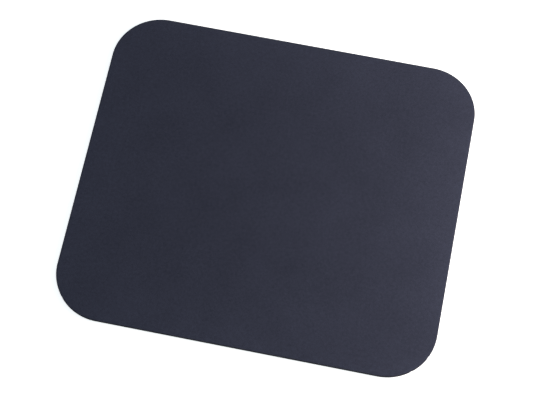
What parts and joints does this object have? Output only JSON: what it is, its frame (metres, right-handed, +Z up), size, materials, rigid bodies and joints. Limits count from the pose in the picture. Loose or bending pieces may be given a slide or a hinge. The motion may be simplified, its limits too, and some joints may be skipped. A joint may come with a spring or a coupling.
{
  "type": "mouse pad",
  "caption": "Flat cloth-topped mouse pad with rounded corners, a raw die-cut edge and a wave-grooved foam rubber underside.",
  "frame": {"origin": "centre of the underside, on the surface that the pad lies on", "axes": "+X along the 250 mm side, to the user's right; +Y along the 220 mm side, away from the user; +Z up through the layers"},
  "size_m": [0.25, 0.22, 0.003],
  "materials": {
    "cloth": "matte",
    "film": "satin",
    "foam_rubber": "matte"
  },
  "bodies": {
    "root": {"cloth_surface": "cloth", "bonding_film": "film", "foam_base": "foam_rubber"}
  },
  "joints": []
}
